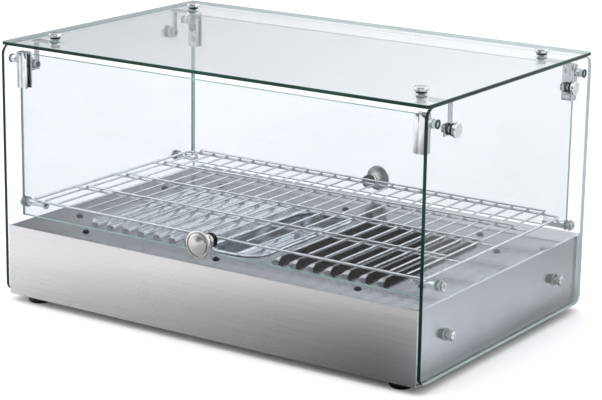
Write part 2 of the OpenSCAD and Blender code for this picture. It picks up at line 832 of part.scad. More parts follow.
module knob_washers() {
  translate([0, door_y, knob_z]) rotate([-90, 0, 0]) for (z = [-glass_t / 2 - 1, glass_t / 2])
    translate([0, 0, z]) difference() {
      cylinder(h = 1, r = 8);
      translate([0, 0, -1]) cylinder(h = 3, r = 2.8);
    }
}

module knob_screw() {
  head = -glass_t / 2 - 1;
  translate([0, door_y, knob_z]) rotate([-90, 0, 0]) union() {
    translate([0, 0, head - 2]) cylinder(h = 2, r = 5);
    translate([0, 0, head - 1]) cylinder(h = 14, r = 2.5);
  }
}

module front_door_glass() {
  color("lightcyan", 0.35) in_case() door_side(-1) door_glass();
}

module front_hinge_clamps() {
  color("silver") in_case() door_side(-1) hinge_clamps();
}

module front_clamp_pads() {
  color("black") in_case() door_side(-1) clamp_pads();
}

module front_clamp_screws() {
  color("silver") in_case() door_side(-1) clamp_screws();
}

module front_pivot_pins() {
  color("silver") in_case() door_side(-1) pivot_pins();
}

module front_knob() {
  color("silver") in_case() door_side(-1) knob();
}

module front_knob_washers() {
  color("black") in_case() door_side(-1) knob_washers();
}

module front_knob_screw() {
  color("silver") in_case() door_side(-1) knob_screw();
}

module rear_door_glass() {
  color("lightcyan", 0.35) in_case() door_glass();
}

module rear_hinge_clamps() {
  color("silver") in_case() hinge_clamps();
}

module rear_clamp_pads() {
  color("black") in_case() clamp_pads();
}

module rear_clamp_screws() {
  color("silver") in_case() clamp_screws();
}

module rear_pivot_pins() {
  color("silver") in_case() pivot_pins();
}

module rear_knob() {
  color("silver") in_case() knob();
}

module rear_knob_washers() {
  color("black") in_case() knob_washers();
}

module rear_knob_screw() {
  color("silver") in_case() knob_screw();
}

// Shelf: a bent wire frame with three cross wires under the long row of thin wires
module shelf_frame() {
  x = shelf_x;
  y = shelf_d / 2;
  b = shelf_bend;
  color("silver") in_case() union() {
    for (s = [-1, 1]) {
      bar_y(s * x, b - y, y - b, frame_z, frame_r);
      bar_x(b - x, x - b, s * y, frame_z, frame_r);
    }
    for (k = [0:3])
      translate([(k == 0 || k == 3 ? 1 : -1) * (x - b), (k < 2 ? 1 : -1) * (y - b), frame_z])
        rotate([0, 0, 90 * k]) rotate_extrude(angle = 90) translate([b, 0]) circle(r = frame_r);
    for (k = [-1:1]) bar_x(-x, x, k * y / 2, low_cross_z, cross_r);
  }
}

module shelf_wires() {
  y = shelf_d / 2 + 0.6;
  n = wire_half_count - 1;
  color("silver") in_case() for (k = [-n:n]) bar_y(k * wire_pitch, -y, y, wire_z, wire_r);
}

// Cross wires that lie on the thin wires, over the lower ones and along the rear edge
module shelf_top_wires() {
  x = wire_pitch * (wire_half_count - 1) + 2;
  color("silver") in_case() for (k = [-1:2]) bar_x(-x, x, k * shelf_d / 4, top_cross_z, cross_r);
}

// Polished water pan that hangs in the deck by its rim
module water_pan() {
  rim_z = deck_z + 0.4;
  w = pan_w - 2 * pan_rim - 1.2;
  l = pan_len - 2 * pan_rim - 1.2;
  r = pan_corner - pan_rim - 0.6;
  color("silver") in_case() translate([0, hot_y, 0]) difference() {
    union() {
      translate([0, 0, rim_z]) linear_extrude(2.2) polygon(round_rect(pan_w, pan_len, pan_corner));
      translate([0, 0, rim_z - pan_depth]) linear_extrude(pan_depth + 1) polygon(round_rect(w, l, r));
    }
    translate([0, 0, rim_z + 1]) linear_extrude(5)
      polygon(round_rect(pan_w - 2.4, pan_len - 2.4, pan_corner - 1.2));
    translate([0, 0, rim_z - pan_depth + 1]) linear_extrude(pan_depth + 5)
      polygon(round_rect(w - 2, l - 2, r - 1));
  }
}

// Thermostat dial: a skirt, a grip bar and a pointer groove, on its steel shaft
module dial_knob() {
  y0 = rear_y + 1;
  color("black") in_case() difference() {
    union() {
      bar_y(dial_x, y0, y0 + 3.5, control_z, dial_r);
      bar_y(dial_x, y0 + 3, y0 + 6, control_z, dial_r - 4);
      intersection() {
        bar_y(dial_x, y0 + 3, dial_tip, control_z, dial_r - 4.2);
        box([dial_x - 5, y0 + 3, control_z - dial_r], [dial_x + 5, dial_tip, control_z + dial_r]);
      }
    }
    bar_y(dial_x, y0 - 1, y0 + 9, control_z, shaft_r + 0.02);
    box([dial_x - 0.7, dial_tip - 0.7, control_z + 3], [dial_x + 0.7, dial_tip + 1, control_z + dial_r]);
  }
}

module dial_shaft() {
  face = rear_y - sheet;
  color("silver") in_case() bar_y(dial_x, face - 13, rear_y + 9, control_z, shaft_r);
}

base_tray();
deck_cover();
deck_rails();
heat_shield();
heater_left();
heater_right();
heater_hangers();
control_baffle();
thermostat_body();
thermal_cutout();
switch_housing();
pilot_lamp_body();
pilot_lamp_lens();
terminal_block();
cord_gland();
gland_nut();
wiring_loom();
feet();
foot_screws();
deck_screws();
end_screws();
end_washers();
side_glass_left();
side_glass_right();
top_glass();
corner_brackets_left();
corner_brackets_right();
top_buttons();
top_washers();
top_nuts();
side_buttons();
side_washers();
side_nuts();
pivot_bushes();
pivot_spacers();
shelf_pins();
shelf_pin_screws();
shelf_pin_washers();
front_door_glass();
front_hinge_clamps();
front_clamp_pads();
front_clamp_screws();
front_pivot_pins();
front_knob();
front_knob_washers();
front_knob_screw();
rear_door_glass();
rear_hinge_clamps();
rear_clamp_pads();
rear_clamp_screws();
rear_pivot_pins();
rear_knob();
rear_knob_washers();
rear_knob_screw();
shelf_frame();
shelf_wires();
shelf_top_wires();
water_pan();
dial_knob();
dial_shaft();
rocker();
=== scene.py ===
import bpy
import math
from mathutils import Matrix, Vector


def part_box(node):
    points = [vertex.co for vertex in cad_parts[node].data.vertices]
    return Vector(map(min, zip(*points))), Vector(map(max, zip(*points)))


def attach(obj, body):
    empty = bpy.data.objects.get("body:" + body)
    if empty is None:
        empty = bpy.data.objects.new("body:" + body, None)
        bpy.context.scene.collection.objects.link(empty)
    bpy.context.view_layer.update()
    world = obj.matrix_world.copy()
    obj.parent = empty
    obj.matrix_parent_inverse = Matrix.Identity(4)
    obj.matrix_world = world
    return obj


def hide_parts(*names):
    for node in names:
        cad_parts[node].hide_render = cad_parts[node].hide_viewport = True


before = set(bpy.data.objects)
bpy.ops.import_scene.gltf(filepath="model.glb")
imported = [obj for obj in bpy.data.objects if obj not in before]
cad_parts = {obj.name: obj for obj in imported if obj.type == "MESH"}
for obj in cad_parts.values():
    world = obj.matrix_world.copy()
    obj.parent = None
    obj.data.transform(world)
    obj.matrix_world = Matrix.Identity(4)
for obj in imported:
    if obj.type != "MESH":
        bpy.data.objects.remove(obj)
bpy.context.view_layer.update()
MM = 0.001


# --- Studio ------------------------------------------------------------------
# A sheet of matt white board on the table, an even white room, a wide soft lamp from the
# There are no flags: painted shade in the board's colour, seen only in reflections, darkens what steel
# mirrors.
def srgb(code, alpha=1.0):
    """A hex colour as the linear values that a shader takes"""
    parts = [int(code[i:i + 2], 16) / 255 for i in (1, 3, 5)]
    return [c / 12.92 if c <= 0.04045 else ((c + 0.055) / 1.055) ** 2.4 for c in parts] + [alpha]


def add(tree, kind, sockets=None, **settings):
    """Adds one node to a tree, with its settings, and fills or links its sockets"""
    new = tree.nodes.new("ShaderNode" + kind)
    for key, value in settings.items():
        setattr(new, key, value)
    for key, value in (sockets or {}).items():
        if isinstance(value, bpy.types.NodeSocket):
            tree.links.new(value, new.inputs[key])
        else:
            new.inputs[key].default_value = value
    return new


def finish(name, **sockets):
    """A new material, its tree and its Principled shader with plain values on its own sockets"""
    made = bpy.data.materials.new(name)
    made.use_nodes = True
    shader = made.node_tree.nodes["Principled BSDF"]
    for key, value in sockets.items():
        shader.inputs[key.replace("_", " ")].default_value = value
    return made, made.node_tree, shader


def ramp(tree, factor, low, high, start=0.0, stop=1.0):
    """Spreads a pattern between two colours, or between two plain numbers"""
    spread = {"Value": factor, "From Min": start, "From Max": stop}
    if not isinstance(low, str):
        return add(tree, "MapRange", {**spread, "To Min": low, "To Max": high}).outputs[0]
    mixed = add(tree, "MapRange", spread).outputs[0]
    return add(tree, "Mix", {0: mixed, 6: srgb(low), 7: srgb(high)}, data_type="RGBA").outputs[2]


board, tree, shader = finish("matt_white_board", Roughness=0.75, Specular_IOR_Level=0.2)
place = add(tree, "TexCoord").outputs["Object"]
grain = add(tree, "TexNoise", {"Vector": place, "Scale": 40.0})
pale = ramp(tree, grain.outputs[0], "#f4f4f4", "#f8f8f8")
across, back = add(tree, "SeparateXYZ", {0: place}).outputs[:2]

# Painted reflection shade: the board keeps this much of its light in reflections along the front, from its
# left to its right
front = ramp(tree, across, 0.95, 0.14, -0.42, 0.20)
# Behind the object the painted shade leaves an even share
past_rear = ramp(tree, back, 0.0, 1.0, 0.12, 0.20)
left_of_end = ramp(tree, across, 1.0, 0.0, 0.24, 0.30)
behind = add(tree, "Math", {0: past_rear, 1: left_of_end}, operation="MULTIPLY").outputs[0]
front = add(tree, "Mix", {0: behind, 2: front, 3: 0.62}).outputs[0]
# Past the right end the board's painted reflection is bright, and less so towards the rear
end = ramp(tree, across, 0.0, 1.20, 0.27, 0.33)
fading = ramp(tree, back, 1.0, 0.45, -0.05, 0.40)
end = add(tree, "Math", {0: end, 1: fading}, operation="MULTIPLY").outputs[0]
painted_reflection_share = add(tree, "Math", {0: front, 1: end}, operation="ADD").outputs[0]
painted_reflection_shade = add(tree, "Mix", {0: painted_reflection_share, 6: srgb("#000000"), 7: pale}, data_type="RGBA",
              clamp_factor=False).outputs[2]
# Only mirrored rays see this painted shade and light; the camera and the lamps see the plain pale board
mirrored = add(tree, "LightPath").outputs["Is Glossy Ray"]
shown = add(tree, "Mix", {0: mirrored, 6: pale, 7: painted_reflection_shade}, data_type="RGBA").outputs[2]
tree.links.new(shown, shader.inputs["Base Color"])

board_size = 40
bpy.ops.object.select_all(action="DESELECT")
bpy.ops.mesh.primitive_plane_add(size=board_size)
floor = bpy.context.object
floor.name = "table_board"
floor.data.materials.append(board)

room = bpy.data.worlds.new("white_room")
room.use_nodes = True
bpy.context.scene.world = room
tree = room.node_tree
toward = add(tree, "TexCoord").outputs["Generated"]
height = add(tree, "SeparateXYZ", {0: toward}).outputs[2]
level = ramp(tree, height, 0.10, 1.20, 0.06, 0.66)
# Soft boxes that metal mirrors, as (direction, brightness, cosine at its edge): one at each
# end, one behind, and a small high one behind that lights the deck's folds
soft_boxes = [((-0.97, -0.20, 0.16), 1.90, 0.64), ((-0.10, 0.97, 0.22), 0.80, 0.78),
              ((0.90, 0.40, 0.14), 1.70, 0.58), ((0.30, 0.84, 0.45), 1.10, 0.91)]
for way, gain, edge in soft_boxes:
    glow = add(tree, "VectorMath", {0: toward, 1: Vector(way).normalized()}, operation="DOT_PRODUCT")
    lift = ramp(tree, glow.outputs["Value"], 0.0, gain, edge, 0.97)
    level = add(tree, "Math", {0: level, 1: lift}, operation="ADD").outputs[0]
even_light = 1.3
rays = add(tree, "LightPath").outputs
level = add(tree, "Mix", {0: rays["Is Glossy Ray"], 2: even_light, 3: level}).outputs[0]
tree.links.new(level, tree.nodes["Background"].inputs["Strength"])
tree.nodes["Background"].inputs["Color"].default_value = srgb("#fbfcff")

bpy.ops.object.light_add(type="SUN", rotation=[math.radians(a) for a in (20, -12, -20)])
lamp = bpy.context.object
lamp.name = "soft_lamp"
lamp.data.energy = 1.0
lamp.data.angle = math.radians(75)
lamp.data.color = srgb("#fffdf8")[:3]

bpy.ops.object.camera_add(location=(1.2916, -1.9215, 0.7385),
                          rotation=[math.radians(a) for a in (75.154, -0.817, 33.991)])
camera = bpy.context.object
camera.name = "catalogue_camera"
camera.data.sensor_width = 36
camera.data.lens = 125.2
bpy.context.scene.camera = camera
bpy.context.scene.view_settings.view_transform = "Standard"
bpy.context.scene.cycles.transparent_max_bounces = 32
bpy.context.scene.cycles.max_bounces = 16


# --- Folded base tray ---------------------------------------------------------
# The bottom, front and rear of the base are one sheet of 1.2 mm 430 stainless steel, folded
# in a press brake, so every corner is rounded a little and the grain runs along the width.
def only(*pieces):
    """Selects these pieces and nothing else"""
    bpy.ops.object.select_all(action="DESELECT")
    for piece in pieces:
        piece.select_set(True)
    bpy.context.view_layer.objects.active = pieces[0]


def settle(piece, body, stands_for=(), material=None, angle=32):
    """Smooths a finished piece, lays its place into its mesh and hands it to its body"""
    only(piece)
    bpy.ops.object.transform_apply(location=True, rotation=True, scale=True)
    bpy.ops.object.shade_smooth_by_angle(angle=math.radians(angle))
    if material:
        piece.data.materials.clear()
        piece.data.materials.append(material)
    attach(piece, body)
    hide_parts(*stands_for)
    return piece


def eased(node, name, width, body, material, sections=2):
    """A copy of a CAD solid, with its sharp edges rounded over by width"""
    piece = bpy.data.objects.new(name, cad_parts[node].data.copy())
    bpy.context.scene.collection.objects.link(piece)
    only(piece)
    bpy.ops.mesh.customdata_custom_splitnormals_clear()
    bpy.ops.object.mode_set(mode="EDIT")
    bpy.ops.mesh.select_all(action="SELECT")
    bpy.ops.mesh.remove_doubles(threshold=0.002 * MM)
    bpy.ops.mesh.dissolve_limited(angle_limit=math.radians(0.5))
    bpy.ops.object.mode_set(mode="OBJECT")
    if width:
        edge = piece.modifiers.new("edge", "BEVEL")
        edge.width, edge.segments, edge.limit_method = width, sections, "ANGLE"
        edge.angle_limit = math.radians(35)
        bpy.ops.object.modifier_apply(modifier="edge")
    return settle(piece, body, [node], material)


def brushed_stainless(name, grain_scale, dark, light, low, high):
    """430 stainless ground with a 240 grit belt. The grit's lines are about 0.1 mm apart, which is
    drawn as 1 to 2 mm to show, and they run along the axis with the small scale. They spread
    a reflection across themselves and leave it sharp along themselves."""
    made, tree, shader = finish(name, Metallic=1.0, Anisotropic=0.7)
    place = add(tree, "TexCoord").outputs["Object"]
    lines = add(tree, "Mapping", {"Vector": place, "Scale": grain_scale})
    fine = add(tree, "TexNoise", {"Vector": lines.outputs[0], "Scale": 1.0, "Detail": 6.0,
                                  "Roughness": 0.75})
    haze = add(tree, "TexNoise", {"Vector": place, "Scale": 9.0, "Detail": 3.0})
    tree.links.new(ramp(tree, fine.outputs[0], dark, light, 0.25, 0.75), shader.inputs["Base Color"])
    rough = add(tree, "Math", {0: ramp(tree, fine.outputs[0], low, high, 0.25, 0.75),
                               1: ramp(tree, haze.outputs[0], -0.02, 0.02, 0.3, 0.7)}, operation="ADD")
    tree.links.new(rough.outputs[0], shader.inputs["Roughness"])
    bump = add(tree, "Bump", {"Height": fine.outputs[0], "Strength": 0.10, "Distance": 0.05 * MM})
    tree.links.new(bump.outputs[0], shader.inputs["Normal"])
    along = add(tree, "CombineXYZ", {i: float(s == min(grain_scale)) for i, s in enumerate(grain_scale)})
    tree.links.new(along.outputs[0], shader.inputs["Tangent"])
    return made


tray_steel = brushed_stainless("stainless_brushed_along_x", (3, 1100, 1100), "#c2c0c2", "#d4d2d4",
                               0.24, 0.36)
eased("base_tray", "base_tray_sheet", 0.45 * MM, "case", tray_steel, 3)


# --- Feet ---------------------------------------------------------------------
# Four low discs turned from steel bar and blackened in an oxide bath, which leaves them
# glossy and nearly black, each held by a screw from below.
def turned(name, sides, steps):
    """A round piece turned about Z, from (radius, height) steps in millimetres, foot to top"""
    radius, height = steps[0]
    bpy.ops.object.select_all(action="DESELECT")
    bpy.ops.mesh.primitive_circle_add(vertices=sides, radius=radius * MM, fill_type="NGON",
                                      location=(0, 0, height * MM))
    piece = bpy.context.object
    piece.name = name
    bpy.ops.object.transform_apply(location=True)
    bpy.ops.object.mode_set(mode="EDIT")
    bpy.ops.mesh.select_all(action="SELECT")
    for r, h in steps[1:]:
        bpy.ops.mesh.extrude_region_move(TRANSFORM_OT_translate={"value": (0, 0, (h - height) * MM)})
        bpy.ops.transform.resize(value=(r / radius, r / radius, 1), center_override=(0, 0, h * MM))
        radius, height = r, h
    bpy.ops.mesh.select_all(action="SELECT")
    bpy.ops.mesh.normals_make_consistent(inside=False)
    bpy.ops.object.mode_set(mode="OBJECT")
    return piece


def copies(piece, name, places):
    """Copies a piece to each (place, turn) and joins the copies, each with its own mesh"""
    made = []
    for place, turn in places:
        only(piece)
        bpy.ops.object.duplicate()
        one = bpy.context.object
        one.location, one.rotation_euler = place, turn
        bpy.ops.object.transform_apply(location=True, rotation=True)
        made.append(one)
    bpy.data.objects.remove(piece)
    only(*made)
    bpy.ops.object.join()
    made[0].name = name
    return made[0]


def middle(node):
    low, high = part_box(node)
    return (low + high) / 2


def metal(name, dark, light, low, high, grit, relief=0.05, **sockets):
    """Bare or plated metal with a fine all-over grain of the given size in millimetres"""
    made, tree, shader = finish(name, Metallic=1.0, **sockets)
    place = add(tree, "TexCoord").outputs["Object"]
    fine = add(tree, "TexNoise", {"Vector": place, "Scale": 1000 / grit, "Detail": 4.0})
    cloud = add(tree, "TexNoise", {"Vector": place, "Scale": 100 / grit, "Detail": 3.0})
    tree.links.new(ramp(tree, cloud.outputs[0], dark, light, 0.3, 0.7), shader.inputs["Base Color"])
    tree.links.new(ramp(tree, fine.outputs[0], low, high, 0.3, 0.7), shader.inputs["Roughness"])
    bump = add(tree, "Bump", {"Height": fine.outputs[0], "Strength": relief, "Distance": 0.05 * MM})
    tree.links.new(bump.outputs[0], shader.inputs["Normal"])
    return made


blackened = metal("black_oxide_steel", "#2a2a2c", "#3a3a3e", 0.18, 0.30, 0.8)
zinc = metal("zinc_plated_steel", "#9c9ea0", "#b6b8b9", 0.12, 0.24, 0.6)
foot_r = 13
foot = turned("foot", 64, [(7, 0.4), (8.6, 0), (10.6, 0), (11.7, 0.5), (12.6, 1.6), (foot_r, 3),
                           (foot_r, 7.4), (12.7, 8.2), (12.2, 8.7), (11.5, 9)])
low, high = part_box("feet")
inset = foot_r * MM
spots = [(x, y, 0) for x in (low.x + inset, high.x - inset) for y in (low.y + inset, high.y - inset)]
feet = copies(foot, "round_feet", [(spot, (0, 0, 0)) for spot in spots])
settle(feet, "case", ["feet"], blackened)
eased("foot_screws", "foot_fixings", 0.25 * MM, "case", zinc)


# --- Inside of the base ---------------------------------------------------------
# Two hairpin heaters of sheathed tube hang from slotted plates over a plain steel shield.
# The heat has turned the tubes brown and blue, and dulled the sheet round them.
# Nearly black colour and a dark mirror tint: painted shade for the dim inside of the base, over the heat's
# real dulling
shade_painted_steel = metal("stainless_with_painted_shade", "#0b0b0f", "#121217", 0.34, 0.46, 2.0, 0.01,
                    Specular_Tint=srgb("#3c3c44"))
for node in ("heat_shield", "control_baffle", "deck_rails"):
    eased(node, node + "_sheet", 0.3 * MM, "case", shade_painted_steel, 1)
hanger_steel = metal("bright_annealed_stainless", "#c4c5c8", "#dcdde0", 0.15, 0.26, 1.0)
eased("heater_hangers", "heater_hanger_plates", 0.2 * MM, "case", hanger_steel, 1)

sheath, tree, shader = finish("heat_tinted_incoloy_tube", Metallic=1.0, Roughness=0.42)
place = add(tree, "TexCoord").outputs["Object"]
bands = add(tree, "TexNoise", {"Vector": place, "Scale": 22.0, "Detail": 3.0})
skin = add(tree, "TexNoise", {"Vector": place, "Scale": 900.0, "Detail": 3.0})
tint = add(tree, "ValToRGB", {0: bands.outputs[0]})
blue, grey = tint.color_ramp.elements
blue.position, blue.color = 0.30, srgb("#3c3b42")
grey.position, grey.color = 0.72, srgb("#6b6560")
tint.color_ramp.elements.new(0.5).color = srgb("#5a4c42")
tree.links.new(tint.outputs[0], shader.inputs["Base Color"])
bump = add(tree, "Bump", {"Height": skin.outputs[0], "Strength": 0.1, "Distance": 0.05 * MM})
tree.links.new(bump.outputs[0], shader.inputs["Normal"])
for node in ("heater_left", "heater_right"):
    eased(node, node + "_tube", 0.4 * MM, "case", sheath)


# --- Wiring and its fittings ------------------------------------------------------
# Silicone-covered wires join a glazed steatite block, the thermostat and the cut-out.
# They lie in the cool space behind the baffle.
def moulded(name, dark, light, low, high, grit, relief=0.15, **sockets):
    """A moulded, extruded or glazed surface, with specks or orange peel of a size in millimetres"""
    made, tree, shader = finish(name, **sockets)
    place = add(tree, "TexCoord").outputs["Object"]
    fine = add(tree, "TexNoise", {"Vector": place, "Scale": 1000 / grit, "Detail": 3.0})
    cloud = add(tree, "TexNoise", {"Vector": place, "Scale": 120 / grit, "Detail": 2.0})
    tree.links.new(ramp(tree, cloud.outputs[0], dark, light, 0.3, 0.7), shader.inputs["Base Color"])
    tree.links.new(ramp(tree, fine.outputs[0], low, high, 0.3, 0.7), shader.inputs["Roughness"])
    bump = add(tree, "Bump", {"Height": fine.outputs[0], "Strength": relief, "Distance": 0.05 * MM})
    tree.links.new(bump.outputs[0], shader.inputs["Normal"])
    return made


steatite = moulded("glazed_steatite", "#d8d2c2", "#e9e4d6", 0.12, 0.24, 1.5, IOR=1.52)
phenolic = moulded("black_phenolic", "#121214", "#1d1d20", 0.22, 0.36, 0.8, IOR=1.6)
silicone = moulded("red_silicone_sleeve", "#7a2a20", "#95382b", 0.45, 0.60, 0.7, IOR=1.42)
eased("terminal_block", "terminal_block_body", 0.8 * MM, "case", steatite)
eased("thermostat_body", "thermostat_drum", 0.6 * MM, "case", steatite)
eased("thermal_cutout", "thermal_cutout_case", 0.4 * MM, "case", phenolic)
eased("wiring_loom", "wiring_sleeves", 0, "case", silicone, 1)


# --- Louvred deck -------------------------------------------------------------------
# The deck is one stainless sheet with its ends folded down over the tray's, a rounded
# opening for the pan, and two banks of louvres cut and pressed up in a die.
def bar(name, radius, start, stop, sides=48):
    """A plain round bar between two points, as a first shape or as a cutter"""
    start, stop = Vector(start), Vector(stop)
    bpy.ops.object.select_all(action="DESELECT")
    turn = (stop - start).to_track_quat("Z", "Y").to_euler()
    bpy.ops.mesh.primitive_cylinder_add(vertices=sides, radius=radius, depth=(stop - start).length,
                                        location=(start + stop) / 2, rotation=turn)
    piece = bpy.context.object
    piece.name = name
    bpy.ops.object.transform_apply(location=True, rotation=True)
    return piece


def block(name, low, high):
    """A plain block between two corners, as a first shape"""
    low, high = Vector(low), Vector(high)
    bpy.ops.object.select_all(action="DESELECT")
    bpy.ops.mesh.primitive_cube_add(size=1, location=(low + high) / 2)
    piece = bpy.context.object
    piece.name = name
    piece.scale = high - low
    bpy.ops.object.transform_apply(location=True, rotation=True, scale=True)
    return piece


def pick(piece, kind, test):
    """Opens a piece for editing with only the points, edges or faces that pass the test selected"""
    only(piece)
    bpy.ops.object.mode_set(mode="EDIT")
    bpy.ops.mesh.select_mode(type=kind)
    bpy.ops.mesh.select_all(action="DESELECT")
    bpy.ops.object.mode_set(mode="OBJECT")
    mesh = piece.data
    if kind == "VERT":
        for v in mesh.vertices:
            v.select = test(v.co)
    elif kind == "EDGE":
        for e in mesh.edges:
            e.select = test(*(mesh.vertices[i].co for i in e.vertices))
    else:
        for f in mesh.polygons:
            f.select = test(f.center, f.normal)
    bpy.ops.object.mode_set(mode="EDIT")


def put_down():
    bpy.ops.object.mode_set(mode="OBJECT")


def cut(piece, tool, operation="DIFFERENCE"):
    """Cuts a piece with a tool, or welds the tool to it, and removes the tool"""
    only(piece)
    step = piece.modifiers.new("cut", "BOOLEAN")
    step.operation, step.object, step.solver = operation, tool, "EXACT"
    bpy.ops.object.modifier_apply(modifier="cut")
    bpy.data.objects.remove(tool)


def joined(pieces):
    only(*pieces)
    bpy.ops.object.join()
    return pieces[0]


deck_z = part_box("base_tray")[1].z
mid_y = middle("top_glass").y
low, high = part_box("deck_cover")
sheet = 1.2 * MM
flange = 12 * MM
fold_r = 2.4 * MM
pan_low, pan_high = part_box("water_pan")
pan_y = middle("water_pan").y
louvre_first, louvre_pitch, louvre_count = 64 * MM, 22.2 * MM, 7
mouths = [louvre_first + louvre_pitch * i for i in range(louvre_count)]
louvre_half = 101 * MM
louvre_r = 11 * MM
louvre_drop = 4 * MM
louvre_shoulder = 3.2 * MM
louvre_skin = 1 * MM
slot_w = 9.6 * MM


def hood():
    """One louvre that opens towards +X: a bar's upper quarter with sloped ends, as a thin skin"""
    axis_z = deck_z - louvre_drop
    past = louvre_half + 10 * MM
    body = bar("hood", louvre_r, (0, -past, axis_z), (0, past, axis_z), 80)
    cuts = [((0, 0, 0), (1, 0, 0)), ((0, 0, deck_z - sheet / 2), (0, 0, -1))]
    for s in (-1, 1):
        cuts.append(((0, s * louvre_half, 0), (0, s, 0)))
        cuts.append(((0, s * louvre_half, deck_z + louvre_shoulder), (0, 0.6 * s, 0.8)))
    for point, normal in cuts:
        pick(body, "FACE", lambda c, n: True)
        bpy.ops.mesh.bisect(plane_co=point, plane_no=normal, use_fill=True, clear_outer=True)
        put_down()

    def on_end_rim(a, b):
        near_end = min(abs(a.y), abs(b.y)) > louvre_half - 9 * MM and abs(a.y - b.y) < 7 * MM
        on_back = max(a.x, b.x) < -0.1 * MM and min(a.z, b.z) > deck_z + 0.5 * MM
        return near_end and on_back

    pick(body, "EDGE", on_end_rim)
    bpy.ops.mesh.bevel(offset=1.4 * MM, segments=3, affect="EDGES")
    put_down()
    pick(body, "FACE", lambda c, n: n.x > 0.9 or n.z < -0.9)
    bpy.ops.mesh.delete(type="FACE")
    bpy.ops.mesh.select_mode(type="VERT")
    bpy.ops.mesh.select_all(action="SELECT")
    bpy.ops.mesh.remove_doubles(threshold=0.05 * MM)
    bpy.ops.mesh.normals_make_consistent(inside=False)
    put_down()
    skin = body.modifiers.new("skin", "SOLIDIFY")
    skin.thickness, skin.offset, skin.use_even_offset = louvre_skin, -1, True
    only(body)
    bpy.ops.object.modifier_apply(modifier="skin")
    return body


def bank(one, name):
    """Both banks of louvres: the right one opens towards +X, the left one is its mirror image"""
    right = copies(one, name, [((x, pan_y, 0), (0, 0, 0)) for x in mouths])
    only(right)
    bpy.ops.object.duplicate()
    left = bpy.context.object
    bpy.ops.transform.mirror(constraint_axis=(True, False, False), center_override=(0, 0, 0))
    bpy.ops.object.transform_apply(location=True, rotation=True, scale=True)
    pick(left, "FACE", lambda c, n: True)
    bpy.ops.mesh.normals_make_consistent(inside=False)
    put_down()
    return joined([right, left])


def is_level(a, b):
    return abs(a.z - b.z) < MM


deck = block("louvred_deck", low, (high.x, high.y, deck_z))
pick(deck, "FACE", lambda c, n: n.z < -0.5 or abs(n.y) > 0.5)
bpy.ops.mesh.delete(type="FACE")
put_down()
for way in (-1, 1):
    pick(deck, "EDGE", lambda a, b: is_level(a, b) and a.z < low.z + MM
         and way * min(a.x, b.x) > high.x - MM)
    bpy.ops.mesh.extrude_edges_move(TRANSFORM_OT_translate={"value": (-way * flange, 0, 0)})
    put_down()
pick(deck, "EDGE", lambda a, b: is_level(a, b) and a.x * b.x > (high.x - MM) ** 2)
bpy.ops.mesh.bevel(offset=fold_r, segments=6, affect="EDGES")
bpy.ops.mesh.select_all(action="SELECT")
bpy.ops.mesh.normals_make_consistent(inside=False)
put_down()
wall = deck.modifiers.new("wall", "SOLIDIFY")
wall.thickness, wall.offset, wall.use_even_offset = sheet, -1, True
only(deck)
bpy.ops.object.modifier_apply(modifier="wall")

rim = 4 * MM
over = 4 * MM
opening = block("opening", (pan_low.x + rim, pan_low.y + rim, deck_z - over),
                (pan_high.x - rim, pan_high.y - rim, deck_z + over))
pick(opening, "EDGE", lambda a, b: not is_level(a, b))
bpy.ops.mesh.bevel(offset=24 * MM, segments=12, affect="EDGES")
put_down()
cut(deck, opening)
slot_half = louvre_half - louvre_skin
slot = block("slot", (-slot_w, -slot_half, deck_z - over), (0, slot_half, deck_z + over))
cut(deck, bank(slot, "slots"))
cut(deck, bank(hood(), "hoods"), "UNION")
deck_steel = brushed_stainless("stainless_brushed_over_the_fold", (3, 560, 3), "#94979b", "#bcbec1",
                               0.11, 0.21)
settle(deck, "case", ["deck_cover"], deck_steel, 30)

# Painted shade: the underside and the hollow of each louvre take the nearly black steel, for the shade under
# the deck and inside the louvres
deck.data.materials.append(shade_painted_steel)
louvre_mid = 5 * MM
for face in deck.data.polygons:
    spot = face.center
    mouth = min(mouths, key=lambda m: abs(m - louvre_mid - abs(spot.x)))
    inward = Vector((math.copysign(mouth, spot.x) - spot.x, 0, deck_z - louvre_drop - spot.z))
    in_bank = inward.length < louvre_r - louvre_skin / 2 and abs(spot.y - pan_y) < louvre_half
    if in_bank and face.normal.dot(inward) > 0 or face.normal.z < -0.9:
        face.material_index = 1

# Truss-head screws, blackened, along the deck's rails and over the shield's flanges
truss_head = [(4.2, 0), (4.2, 0.5), (3.9, 1.1), (3.2, 1.7), (2.2, 2.2), (1.5, 2.4), (1.3, 1.4), (0.3, 1.2)]
rail_x, rail_y = 183, (-150, 110)
shield_x, shield_y = 232, (-102, 60)
places = [(x, y) for x in (-rail_x, 0, rail_x) for y in rail_y]
places += [(x, y) for x in (-shield_x, shield_x) for y in shield_y]
spots = [((x * MM, mid_y + y * MM, deck_z), (0, 0, x)) for x, y in places]
heads = copies(turned("screw", 32, truss_head), "deck_screw_heads", spots)
settle(heads, "case", ["deck_screws"], blackened)


# --- Water pan ------------------------------------------------------------------------
# Drawn from thin stainless sheet and buffed nearly to a mirror. Its beaded rim lies on the
# deck and its corners and floor edge have the soft radius of a drawing die.
buffed, tree, shader = finish("buffed_stainless", Metallic=1.0)
place = add(tree, "TexCoord").outputs["Object"]
swirl = add(tree, "TexNoise", {"Vector": place, "Scale": 260.0, "Detail": 4.0, "Distortion": 1.2})
cloud = add(tree, "TexNoise", {"Vector": place, "Scale": 16.0, "Detail": 2.0})
tree.links.new(ramp(tree, swirl.outputs[0], 0.03, 0.08, 0.3, 0.7), shader.inputs["Roughness"])
tree.links.new(ramp(tree, cloud.outputs[0], "#b3b7bb", "#cbced1", 0.3, 0.7), shader.inputs["Base Color"])
bump = add(tree, "Bump", {"Height": cloud.outputs[0], "Strength": 0.02, "Distance": 1.0 * MM})
tree.links.new(bump.outputs[0], shader.inputs["Normal"])

